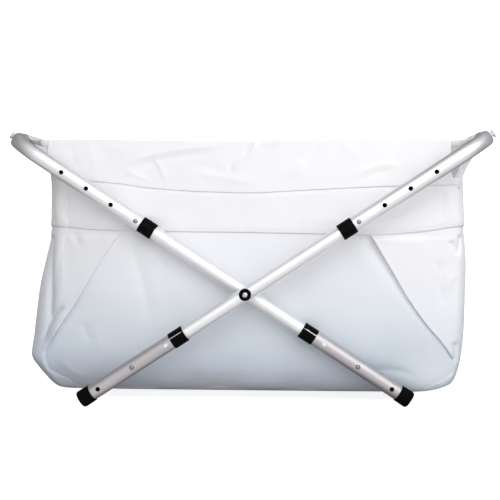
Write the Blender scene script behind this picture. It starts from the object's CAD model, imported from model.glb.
# Looks of the foldable baby bathtub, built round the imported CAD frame. Blender 4.5.
# Lengths in the shape code are millimetres in the part's own frame; objects are made in metres.
import math

import bmesh
import bpy
import numpy as np
from mathutils import Matrix, Vector, noise


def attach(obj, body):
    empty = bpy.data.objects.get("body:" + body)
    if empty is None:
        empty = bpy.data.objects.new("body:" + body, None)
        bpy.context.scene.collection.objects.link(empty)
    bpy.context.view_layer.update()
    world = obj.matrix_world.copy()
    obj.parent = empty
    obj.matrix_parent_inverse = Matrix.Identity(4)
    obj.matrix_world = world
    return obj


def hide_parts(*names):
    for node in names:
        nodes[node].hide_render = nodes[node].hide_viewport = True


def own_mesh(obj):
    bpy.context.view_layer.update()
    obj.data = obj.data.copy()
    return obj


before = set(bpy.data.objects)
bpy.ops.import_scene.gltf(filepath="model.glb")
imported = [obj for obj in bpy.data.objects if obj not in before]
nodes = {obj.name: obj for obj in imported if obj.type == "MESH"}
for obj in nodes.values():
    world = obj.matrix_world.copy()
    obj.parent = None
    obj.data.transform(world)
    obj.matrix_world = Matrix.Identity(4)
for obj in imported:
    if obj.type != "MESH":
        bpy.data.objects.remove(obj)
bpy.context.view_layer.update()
scene = bpy.context.scene

# ------------------------------------------------------------------ camera
YAW, PITCH, ROLL = math.radians(-2.606), math.radians(1.782), math.radians(0.164)
ahead = Vector((math.sin(YAW) * math.cos(PITCH), math.cos(YAW) * math.cos(PITCH), -math.sin(PITCH)))
right = Vector((math.cos(YAW), -math.sin(YAW), 0))
up = right.cross(ahead)
r2 = math.cos(ROLL) * right + math.sin(ROLL) * up
u2 = -math.sin(ROLL) * right + math.cos(ROLL) * up
camera = bpy.data.objects.new("camera", bpy.data.cameras.new("camera"))
scene.collection.objects.link(camera)
camera.data.lens = 72
camera.data.sensor_width = 36
camera.data.sensor_fit = "HORIZONTAL"
camera.data.clip_start = 0.05
camera.data.clip_end = 60
camera.matrix_world = Matrix(
    (
        (r2.x, u2.x, -ahead.x, 0.07949),
        (r2.y, u2.y, -ahead.y, -1.81327),
        (r2.z, u2.z, -ahead.z, 0.30182),
        (0, 0, 0, 1),
    )
)
scene.camera = camera

# ------------------------------------------------------------------ dimensions shared with the CAD
ANGLE = math.radians(33)
PIVOT_Z = 181.8
OUTER_Y, INNER_Y = 225.5, 197.5
TUBE_R, TUBE_BORE, LEG_R, LEG_BORE = 12.5, 11.35, 11.0, 9.5
CROSSBAR, BEND_R = 459.0, 60.0
TOP_BUTTON, TOP_PITCH, TOP_COLLAR = 213.0, 48.0, 192.0
FOOT_BUTTON, FOOT_PITCH = 215.0, 65.0
COLLAR_L, COLLAR_R, COLLAR_BORE = 25.0, 13.5, 12.85
LEG_UP, LEG_DOWN = 236.0, 237.0
FOOT_RIM, FOOT_END, FOOT_R, TUBE_FOOT_END = 293.5, 317.0, 14.0, 312.5
HOLE_R = 3.6
BAR_X = CROSSBAR * math.cos(ANGLE)
BAR_Z = PIVOT_Z + CROSSBAR * math.sin(ANGLE)


# ------------------------------------------------------------------ materials
class Nodes:
    """A few short calls for building a node material."""

    def __init__(self, name):
        self.material = bpy.data.materials.new(name)
        self.material.use_nodes = True
        self.tree = self.material.node_tree
        self.shader = self.tree.nodes["Principled BSDF"]

    def set(self, **values):
        for key, value in values.items():
            self.shader.inputs[key.replace("_", " ")].default_value = value
        return self

    def add(self, kind, inputs=None, **settings):
        node = self.tree.nodes.new(kind)
        for key, value in settings.items():
            setattr(node, key, value)
        for key, value in (inputs or {}).items():
            if isinstance(value, bpy.types.NodeSocket):
                self.tree.links.new(value, node.inputs[key])
            else:
                node.inputs[key].default_value = value
        return node

    def link(self, socket, key):
        self.tree.links.new(socket, self.shader.inputs[key])

    def coords(self, kind="Object", scale=(1, 1, 1), turn=(0, 0, 0)):
        tex = self.add("ShaderNodeTexCoord")
        return self.add(
            "ShaderNodeMapping",
            {"Vector": tex.outputs[kind], "Scale": scale, "Rotation": turn},
        ).outputs[0]

    def noise(self, where, scale, detail=3.0, rough=0.5, distortion=0.0):
        return self.add(
            "ShaderNodeTexNoise",
            {"Vector": where, "Scale": scale, "Detail": detail, "Roughness": rough, "Distortion": distortion},
        ).outputs["Fac"]

    def range(self, value, a, b, lo, hi):
        return self.add(
            "ShaderNodeMapRange",
            {"Value": value, "From Min": a, "From Max": b, "To Min": lo, "To Max": hi},
        ).outputs["Result"]

    def ramp(self, value, stops, smooth=False):
        node = self.add("ShaderNodeValToRGB", {"Fac": value})
        r = node.color_ramp
        r.interpolation = "EASE" if smooth else "LINEAR"
        while len(r.elements) < len(stops):
            r.elements.new(0.5)
        for e, (at, colour) in zip(r.elements, stops):
            e.position = at
            e.color = (*colour, 1)
        return node.outputs["Color"]

    def math(self, how, a, b=0.0, c=0.0):
        return self.add("ShaderNodeMath", {0: a, 1: b, 2: c}, operation=how).outputs[0]

    def mix(self, how, factor, a, b):
        node = self.add("ShaderNodeMix", data_type="RGBA", blend_type=how)
        for i, value in ((0, factor), (6, a), (7, b)):
            if isinstance(value, bpy.types.NodeSocket):
                self.tree.links.new(value, node.inputs[i])
            else:
                node.inputs[i].default_value = value
        return node.outputs[2]

    def bump(self, height, distance, strength=1.0, under=None):
        inputs = {"Height": height, "Distance": distance, "Strength": strength}
        if under is not None:
            inputs["Normal"] = under
        return self.add("ShaderNodeBump", inputs).outputs[0]


def aluminium_material(name, tint, metal_rough=(0.47, 0.57)):
    """Satin anodised tube with a fine drawn grain along its length, from the tube's own UVs in metres."""
    m = Nodes(name).set(Metallic=1.0)
    grain = m.noise(m.coords("UV", (2600, 60, 1)), 1.0, 3.0, 0.6)
    broad = m.noise(m.coords("UV", (160, 14, 1)), 1.0, 2.0)
    blotch = m.noise(m.coords("Object"), 38.0, 3.0)
    colour = m.ramp(
        m.math("MULTIPLY_ADD", blotch, 0.5, m.math("MULTIPLY", broad, 0.5)),
        [(0.3, tuple(c * 0.93 for c in tint)), (0.7, tint)],
    )
    # the bore is unpolished and dark; the "inside" attribute marks its faces
    inside = m.add("ShaderNodeAttribute", attribute_name="inside").outputs["Fac"]
    m.link(m.mix("MIX", inside, colour, (0.012, 0.012, 0.013, 1)), "Base Color")
    m.link(m.math("SUBTRACT", 1.0, inside), "Metallic")
    rough = m.range(m.math("MULTIPLY_ADD", grain, 0.6, m.math("MULTIPLY", broad, 0.4)), 0.3, 0.7, *metal_rough)
    m.link(m.math("MAXIMUM", rough, m.math("MULTIPLY", inside, 0.9)), "Roughness")
    scratch = m.range(m.noise(m.coords("UV", (900, 9, 1)), 1.0, 2.0, 0.7), 0.62, 0.72, 0.0, 1.0)
    h = m.math("SUBTRACT", grain, m.math("MULTIPLY", scratch, 0.5))
    m.link(m.bump(h, 0.00006, 0.6), "Normal")
    return m.material


def steel_material(name, tint=(0.72, 0.72, 0.73), rough=(0.14, 0.26)):
    m = Nodes(name).set(Metallic=1.0)
    n = m.noise(m.coords("Object"), 900.0, 3.0, 0.6)
    m.link(m.ramp(m.noise(m.coords("Object"), 260.0), [(0.3, tuple(c * 0.86 for c in tint)), (0.7, tint)]), "Base Color")
    m.link(m.range(n, 0.3, 0.7, *rough), "Roughness")
    m.link(m.bump(n, 0.00003, 0.5), "Normal")
    return m.material


def black_plastic_material(name):
    m = Nodes(name)
    m.set(Specular_IOR_Level=0.05)
    fine = m.noise(m.coords("Object"), 2400.0, 2.0)
    broad = m.noise(m.coords("Object"), 90.0, 3.0)
    m.link(m.ramp(broad, [(0.3, (0.0012, 0.0012, 0.0014)), (0.75, (0.003, 0.003, 0.0035))]), "Base Color")
    m.link(m.range(broad, 0.3, 0.7, 0.42, 0.56), "Roughness")
    m.link(m.bump(fine, 0.00004, 0.6), "Normal")
    return m.material


def rubber_material(name):
    m = Nodes(name)
    m.set(Specular_IOR_Level=0.05)
    fine = m.noise(m.coords("Object"), 1500.0, 4.0, 0.65)
    dust = m.noise(m.coords("Object"), 130.0, 4.0, 0.6)
    m.link(m.ramp(dust, [(0.35, (0.0014, 0.0014, 0.0016)), (0.8, (0.0042, 0.0042, 0.0045))]), "Base Color")
    m.link(m.range(dust, 0.3, 0.7, 0.62, 0.82), "Roughness")
    m.link(m.bump(fine, 0.00012, 0.7), "Normal")
    return m.material


def clear_vinyl_material(name):
    m = Nodes(name)
    m.set(IOR=1.46, Transmission_Weight=0.25)
    haze = m.noise(m.coords("Object"), 420.0, 3.0)
    m.link(m.ramp(haze, [(0.3, (0.80, 0.80, 0.88)), (0.7, (0.90, 0.90, 0.96))]), "Base Color")
    m.link(m.range(haze, 0.3, 0.7, 0.16, 0.34), "Roughness")
    m.link(m.bump(haze, 0.0002, 0.4), "Normal")
    return m.material


def weave(m, pitch):
    """A plain weave from the piece's UVs in metres: height 0 to 1."""
    scale = 2 * math.pi / (20 * pitch)
    uv = m.coords("UV")
    warp = m.add("ShaderNodeTexWave", {"Vector": uv, "Scale": scale, "Distortion": 0.0}, wave_type="BANDS", bands_direction="X").outputs["Fac"]
    weft = m.add("ShaderNodeTexWave", {"Vector": uv, "Scale": scale, "Distortion": 0.0}, wave_type="BANDS", bands_direction="Y").outputs["Fac"]
    return m.math("MULTIPLY", warp, weft)


def stitches(m, height_of_row, pitch=0.0032):
    """A row of thread stitches at a given height on the piece, in metres of its V."""
    uv = m.add("ShaderNodeTexCoord").outputs["UV"]
    split = m.add("ShaderNodeSeparateXYZ", {0: uv})
    along = m.math("SINE", m.math("MULTIPLY", split.outputs[0], 2 * math.pi / pitch))
    dash = m.range(along, -0.35, 0.1, 0.0, 1.0)
    off = m.math("ABSOLUTE", m.math("SUBTRACT", split.outputs[1], height_of_row))
    line = m.range(off, 0.00035, 0.0008, 1.0, 0.0)
    return m.math("MULTIPLY", line, dash)


def fabric_material(name, stops, rough=(0.55, 0.68), rows=(), pitch=0.0009, weave_height=0.00008, sheen=0.12, toned=False):
    """White coated cloth. stops are the colours up the object's own Z in metres, or up its tone attribute."""
    m = Nodes(name)
    m.set(Sheen_Weight=sheen, Sheen_Roughness=0.5, Specular_IOR_Level=0.35)
    place = m.coords("Object")
    z = m.add("ShaderNodeSeparateXYZ", {0: place}).outputs[2]
    if toned:
        z = m.add("ShaderNodeAttribute", attribute_name="tone").outputs["Fac"]
        z = m.math("ADD", z, m.range(m.noise(place, 9.0, 3.0), 0.2, 0.8, -0.012, 0.012))
    span = stops[-1][0] - stops[0][0]
    base = m.ramp(
        m.range(z, stops[0][0], stops[-1][0], 0.0, 1.0),
        [((at - stops[0][0]) / span, c) for at, c in stops],
    )
    mottle = m.range(m.noise(place, 16.0, 4.0, 0.55), 0.25, 0.75, 0.0, 1.0)
    base = m.mix("MULTIPLY", 0.5, base, m.ramp(mottle, [(0.0, (0.955, 0.955, 0.962)), (1.0, (1.0, 1.0, 1.0))]))
    h = weave(m, pitch)
    fibre = m.noise(place, 700.0, 2.0)
    base = m.mix("MULTIPLY", 0.35, base, m.ramp(h, [(0.0, (0.93, 0.93, 0.94)), (1.0, (1.0, 1.0, 1.0))]))
    normal = m.bump(m.math("MULTIPLY_ADD", fibre, 0.4, h), weave_height, 0.8)
    for row in rows:
        s = stitches(m, row)
        base = m.mix("MIX", m.math("MULTIPLY", s, 0.35), base, (0.78, 0.78, 0.8, 1))
        normal = m.bump(s, 0.0004, 0.8, normal)
    m.link(base, "Base Color")
    m.link(m.range(m.noise(place, 60.0, 3.0), 0.3, 0.7, *rough), "Roughness")
    m.link(normal, "Normal")
    return m.material


ALUMINIUM_UP = aluminium_material("aluminium_satin", (0.95, 0.95, 0.965))
ALUMINIUM_LEG = aluminium_material("aluminium_satin_inner", (0.965, 0.965, 0.98))
ALUMINIUM_FOOT = aluminium_material("aluminium_satin_foot", (0.60, 0.575, 0.59))
STEEL = steel_material("nickel_steel")
BUTTON_STEEL = steel_material("button_steel", (0.36, 0.36, 0.38), (0.16, 0.28))
BLACK = black_plastic_material("moulded_black")
RUBBER = rubber_material("black_rubber_matt")
CLEAR = clear_vinyl_material("clear_soft_vinyl")
BAND = fabric_material(
    "white_coated_band",
    [(0.27, (0.93, 0.93, 0.94)), (0.44, (0.94, 0.94, 0.95))],
    rows=(0.0045, 0.008),
)
SLEEVE = fabric_material(
    "white_sleeve_cloth",
    [(0.34, (0.80, 0.80, 0.81)), (0.45, (0.84, 0.84, 0.85))],
    rows=(0.005,),
)
BAG = fabric_material(
    "pale_coated_bag",
    [
        (0.0145, (0.52, 0.53, 0.56)),
        (0.0180, (0.52, 0.53, 0.56)),
        (0.0200, (0.38, 0.395, 0.435)),
        (0.030, (0.40, 0.42, 0.47)),
        (0.050, (0.51, 0.56, 0.64)),
        (0.085, (0.65, 0.71, 0.78)),
        (0.150, (0.78, 0.82, 0.865)),
        (0.215, (0.865, 0.875, 0.91)),
        (0.285, (0.91, 0.91, 0.935)),
        (0.44, (0.93, 0.93, 0.95)),
    ],
    rough=(0.42, 0.55),
    pitch=0.0007,
    weave_height=0.00004,
    sheen=0.05,
    toned=True,
)


# ------------------------------------------------------------------ mesh helpers
def new_object(name, verts, faces, material, uvs=None, normals=None, sharp=None, tones=None):
    """verts in millimetres, faces as index lists, uvs one (u, v) per face corner in metres."""
    me = bpy.data.meshes.new(name)
    me.from_pydata((np.asarray(verts, float) * 0.001).tolist(), [], faces)
    if uvs is not None:
        layer = me.uv_layers.new(name="UVMap")
        layer.data.foreach_set("uv", np.asarray(uvs, np.float32).ravel())
    if tones is not None:
        me.attributes.new("tone", "FLOAT", "POINT").data.foreach_set("value", np.asarray(tones, np.float32))
    me.materials.append(material)
    me.polygons.foreach_set("use_smooth", [True] * len(me.polygons))
    me.update()
    if sharp is not None:
        me.set_sharp_from_angle(angle=math.radians(sharp))
    if normals is not None:
        me.normals_split_custom_set_from_vertices(np.asarray(normals, float).tolist())
    o = bpy.data.objects.new(name, me)
    scene.collection.objects.link(o)
    return o


def apply_modifiers(o):
    bpy.context.view_layer.update()
    dg = bpy.context.evaluated_depsgraph_get()
    me = bpy.data.meshes.new_from_object(o.evaluated_get(dg), preserve_all_data_layers=True, depsgraph=dg)
    old = o.data
    o.modifiers.clear()
    o.data = me
    me.name = o.name
    bpy.data.meshes.remove(old)


def carve(o, cutters, sharp=30):
    """Cuts closed shapes, each (verts in mm, faces), out of o."""
    verts, faces = [], []
    for v, f in cutters:
        base = len(verts)
        verts += [tuple(p) for p in v]
        faces += [[i + base for i in face] for face in f]
    c = new_object("cutter", verts, faces, o.data.materials[0])
    m = o.modifiers.new("cut", "BOOLEAN")
    m.operation, m.solver, m.object = "DIFFERENCE", "EXACT", c
    apply_modifiers(o)
    old = c.data
    bpy.data.objects.remove(c)
    bpy.data.meshes.remove(old)
    o.data.polygons.foreach_set("use_smooth", [True] * len(o.data.polygons))
    o.data.set_sharp_from_angle(angle=math.radians(sharp))


def smooth(x):
    x = np.clip(x, 0, 1)
    return x * x * (3 - 2 * x)


def moved(verts, m):
    """Points in millimetres through a 4x4 matrix in millimetres."""
    a = np.array(m, float)
    return np.asarray(verts, float) @ a[:3, :3].T + a[:3, 3]


def turned(profile, sides, axis="Z"):
    """A closed profile of (radius, height) turned about an axis. Returns verts, faces, uvs. Facing outwards when the profile runs anticlockwise in (radius, height)."""
    verts, faces, uvs, rings = [], [], [], []
    reach = max(r for r, _ in profile)
    length = [0.0]
    for (r0, h0), (r1, h1) in zip(profile, profile[1:]):
        length.append(length[-1] + math.hypot(r1 - r0, h1 - h0))
    for r, h in profile:
        if r < 1e-6:
            rings.append([len(verts)] * sides)
            verts.append((0, 0, h))
        else:
            rings.append(list(range(len(verts), len(verts) + sides)))
            for i in range(sides):
                a = 2 * math.pi * i / sides
                verts.append((r * math.cos(a), r * math.sin(a), h))
    around = 2 * math.pi * reach / sides * 0.001
    n = len(profile)
    closed = profile[0][0] > 1e-6 or profile[-1][0] > 1e-6
    for k in range(n if closed else n - 1):
        a, b = rings[k], rings[(k + 1) % n]
        va, vb = length[k] * 0.001, (length[k + 1] if k + 1 < n else length[k] + 1) * 0.001
        for i in range(sides):
            j = (i + 1) % sides
            ring = [(a[i], i, va), (a[j], i + 1, va), (b[j], i + 1, vb), (b[i], i, vb)]
            face, uv = [], []
            for index, u, v in ring:
                if index not in face:
                    face.append(index)
                    uv.append((u * around, v))
            if len(face) > 2:
                faces.append(face)
                uvs += uv
    v = np.array(verts)
    if axis == "Y":  # local +Z becomes +Y
        v = v[:, [1, 2, 0]]
    return v, faces, uvs


def rounded(points, radius, steps=4):
    """A closed outline with its corners rounded; points are (a, b) or (a, b, own radius)."""
    out, n = [], len(points)
    for i, p in enumerate(points):
        r = p[2] if len(p) > 2 else radius
        c, a, b = np.array(p[:2]), np.array(points[i - 1][:2]), np.array(points[(i + 1) % n][:2])
        da, db = a - c, b - c
        la, lb = np.linalg.norm(da), np.linalg.norm(db)
        if r <= 0 or la < 1e-9 or lb < 1e-9 or c[0] < 1e-6:
            out.append(tuple(c))
            continue
        cut = min(r, la * 0.45, lb * 0.45)
        p0, p1 = c + da / la * cut, c + db / lb * cut
        for k in range(steps + 1):
            t = k / steps
            out.append(tuple((1 - t) ** 2 * p0 + 2 * t * (1 - t) * c + t * t * p1))
    return out


def stretch(points, step, longest=None):
    """Adds points along long straight runs of an outline, so that no face is too long."""
    out = []
    n = len(points)
    for i, p in enumerate(points):
        q = points[(i + 1) % n]
        out.append(p)
        d = math.hypot(q[0] - p[0], q[1] - p[1])
        if d > step * 1.5:
            k = int(d / step)
            out += [(p[0] + (q[0] - p[0]) * t / (k + 1), p[1] + (q[1] - p[1]) * t / (k + 1)) for t in range(1, k + 1)]
    return out


def drill(m, z, y0=5.0, y1=17.0, r=HOLE_R, face=TUBE_R, flare=0.2, sides=36):
    """A drill with a slight countersink where it meets a tube of radius face; it runs along local +Y, from the tube's axis at (0, 0, z)."""
    edge = math.sqrt(face * face - r * r)
    profile = [(0, y0), (r, y0), (r, edge - 0.35), (r + flare, edge + 0.35), (r + flare + 0.6, y1), (0, y1)]
    v, f, _ = turned(profile, sides, "Y")
    v = v + np.array([0, 0, z])
    return moved(v, m), f


def swap(m):
    """Turns a leg's frame so that its outward side is local +Y."""
    return m @ Matrix.Rotation(math.pi, 4, "Z")


# ------------------------------------------------------------------ tubes, collars, buttons, feet
FRAMES = {
    "outer": (OUTER_Y, math.pi / 2 - ANGLE, 127.5, 160.0, -1),
    "inner": (INNER_Y, ANGLE - math.pi / 2, 120.0, 133.0, 1),
}


def place(o, body, slot, *replaced):
    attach(o, body)
    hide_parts(*replaced)
    return o


def u_tube(name, half, m):
    """The U of a top frame: an even ring swept up a leg, round a bend, along the crossbar and down the other leg."""
    low = TOP_COLLAR - COLLAR_L / 2 + 5
    path = [(-half, z, 0, 1) for z in np.linspace(low, CROSSBAR - BEND_R, 40)]
    turns = 18
    for i in range(1, turns + 1):
        a = i / turns * math.pi / 2
        path.append((-half + BEND_R * (1 - math.cos(a)), CROSSBAR - BEND_R + BEND_R * math.sin(a), math.sin(a), math.cos(a)))
    for y in np.linspace(-half + BEND_R, half - BEND_R, 30)[1:-1]:
        path.append((y, CROSSBAR, 1, 0))
    for i in range(turns + 1):
        a = i / turns * math.pi / 2
        path.append((half - BEND_R * (1 - math.sin(a)), CROSSBAR - BEND_R + BEND_R * math.cos(a), math.cos(a), -math.sin(a)))
    for z in np.linspace(CROSSBAR - BEND_R, low, 40)[1:]:
        path.append((half, z, 0, -1))
    sides = 56
    rings = []
    run = 0.0
    last = None
    for y, z, ty, tz in path:
        if last is not None:
            run += math.hypot(y - last[0], z - last[1])
        last = (y, z)
        rings.append((y, z, ty, tz, TUBE_R, run))
    # the ends are turned over with a small round, then the bore runs back
    first, end = rings[0], rings[-1]
    rings[0] = (first[0], first[1], first[2], first[3], TUBE_R - 0.25, first[5])
    rings.insert(1, (first[0], first[1] + 0.25, first[2], first[3], TUBE_R, first[5] + 0.25))
    rings[-1] = (end[0], end[1] + 0.25, end[2], end[3], TUBE_R, end[5] - 0.25)
    rings.append((end[0], end[1], end[2], end[3], TUBE_R - 0.25, end[5]))
    rings += [(y, z, ty, tz, TUBE_BORE, s) for y, z, ty, tz, _, s in reversed(rings)]
    verts, faces, uvs = [], [], []
    for y, z, ty, tz, r, _ in rings:
        # the bender has pressed the outside of each bend flat, so its section is squarer there
        square = 2.0 + 1.2 * smooth((z - CROSSBAR + 22) / 18) * smooth((abs(y) - (half - BEND_R - 22)) / 20)
        for i in range(sides):
            a = 2 * math.pi * i / sides
            k = r / (abs(math.cos(a)) ** square + abs(math.sin(a)) ** square) ** (1 / square)
            # e1 is local X, e2 lies in the tube's plane, square to its run
            verts.append((k * math.cos(a), y - k * math.sin(a) * tz, z + k * math.sin(a) * ty))
    n = len(rings)
    step = 2 * math.pi * TUBE_R / sides * 0.001
    for k in range(n):
        b = (k + 1) % n
        for i in range(sides):
            j = (i + 1) % sides
            faces.append([k * sides + i, b * sides + i, b * sides + j, k * sides + j])
            va, vb = rings[k][5] * 0.001, rings[b][5] * 0.001
            uvs += [(i * step, va), (i * step, vb), ((i + 1) * step, vb), ((i + 1) * step, va)]
    o = new_object(name, moved(verts, m), faces, ALUMINIUM_UP, uvs)
    outward(o)
    o.data.set_sharp_from_angle(angle=math.radians(30))
    cutters = []
    for side in (-1, 1):
        leg = m @ Matrix.Translation((0, side * half, 0))
        if side < 0:
            leg = swap(leg)
        for k in range(4):
            cutters.append(drill(leg, TOP_BUTTON + k * TOP_PITCH))
    carve(o, cutters)
    mark_bore(o, m, [(q[0], q[1]) for q in rings[: len(rings) // 2]], TUBE_R + 1.6)
    return o


def outward(o):
    """Turns every face of a closed mesh outwards."""
    bm = bmesh.new()
    bm.from_mesh(o.data)
    bmesh.ops.recalc_face_normals(bm, faces=bm.faces)
    if bm.calc_volume(signed=True) < 0:
        bmesh.ops.reverse_faces(bm, faces=bm.faces)
    bm.to_mesh(o.data)
    bm.free()


def mark_bore(o, m, path, wall):
    """Marks the faces of a tube that look in at its axis. path holds the axis points (y, z) in the frame m."""
    me = o.data
    n = len(me.polygons)
    centre, normal = np.zeros(n * 3), np.zeros(n * 3)
    me.polygons.foreach_get("center", centre)
    me.polygons.foreach_get("normal", normal)
    centre = moved(centre.reshape(-1, 3) * 1000, m.inverted())
    normal = moved(normal.reshape(-1, 3), m.inverted().to_3x3().to_4x4())
    axis = np.array([(0, y, z) for y, z in path])
    nearest = np.zeros((n, 3))
    for k in range(0, n, 4000):
        d = np.linalg.norm(centre[k : k + 4000, None] - axis[None], axis=2)
        nearest[k : k + 4000] = axis[d.argmin(1)]
    away = centre - nearest
    reach = np.linalg.norm(away, axis=1)
    inside = ((away * normal).sum(1) < -0.3 * reach) & (reach < wall)
    me.attributes.new("inside", "FLOAT", "FACE").data.foreach_set("value", inside.astype(np.float32))


def lathe_object(name, profile, m, material, sides=56, axis="Z", sharp=35):
    v, f, uv = turned(profile, sides, axis)
    o = new_object(name, moved(v, m), f, material, uv)
    outward(o)
    o.data.set_sharp_from_angle(angle=math.radians(sharp))
    return o


def pipe_profile(ro, ri, z0, z1, step=6.0, edge=0.25):
    return stretch(rounded([(ri, z0), (ro, z0), (ro, z1), (ri, z1)], edge, 3), step)


def collar_profile(centre, sign):
    a, b = centre - COLLAR_L / 2, centre + COLLAR_L / 2
    points = [
        (TUBE_BORE, a, 0.2),
        (COLLAR_R - 0.15, a, 0.9),
        (COLLAR_R, a + 1.6, 0.6),
        (COLLAR_R, b - 1.6, 0.6),
        (COLLAR_R - 0.1, b, 0.7),
        (COLLAR_BORE, b, 0.15),
        (COLLAR_BORE, a + 4.7, 0.0),
        (TUBE_BORE, a + 4.7, 0.1),
    ]
    return [(r, sign * z) for r, z in rounded(points, 0.3, 5)]


def v_spring(name, leg, z, towards):
    """The strip of spring steel bent to a V that holds a snap button out. Its fold points to the pivot."""
    fold = [(8.05, -4.0), (8.05, 5.0)]
    fold += [(8.05 - 7.3 * k / 14, 5.0 + 29.0 * k / 14) for k in range(1, 15)]
    fold += [(0.75 * math.cos(a), 34.2 + 0.75 * math.sin(a)) for a in np.linspace(0.25, math.pi - 0.25, 9)]
    fold += [(-0.75 - 7.2 * k / 14, 34.0 - 36.0 * k / 14) for k in range(0, 15)]
    p = np.array(fold)
    d = np.gradient(p, axis=0)
    d /= np.linalg.norm(d, axis=1, keepdims=True)
    n = np.stack([-d[:, 1], d[:, 0]], 1) * 0.25
    v, f = [], []
    a, b = p + n, p - n
    for k in range(len(p)):
        # the strip's long edges are rounded over a little
        for q, w in ((a, 2.3), (a * 0.7 + b * 0.3, 2.5), (a * 0.3 + b * 0.7, 2.5), (b, 2.3)):
            v += [(w, q[k][0], towards * q[k][1] + z), (-w, q[k][0], towards * q[k][1] + z)]
    ring = [0, 2, 4, 6, 7, 5, 3, 1]
    for k in range(len(p) - 1):
        for i in range(8):
            j = (i + 1) % 8
            f.append([8 * k + ring[i], 8 * (k + 1) + ring[i], 8 * (k + 1) + ring[j], 8 * k + ring[j]])
    f.append([ring[i] for i in range(8)])
    f.append([8 * (len(p) - 1) + ring[7 - i] for i in range(8)])
    o = new_object(name, moved(v, leg), f, STEEL)
    outward(o)
    o.data.set_sharp_from_angle(angle=math.radians(40))
    return o


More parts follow.
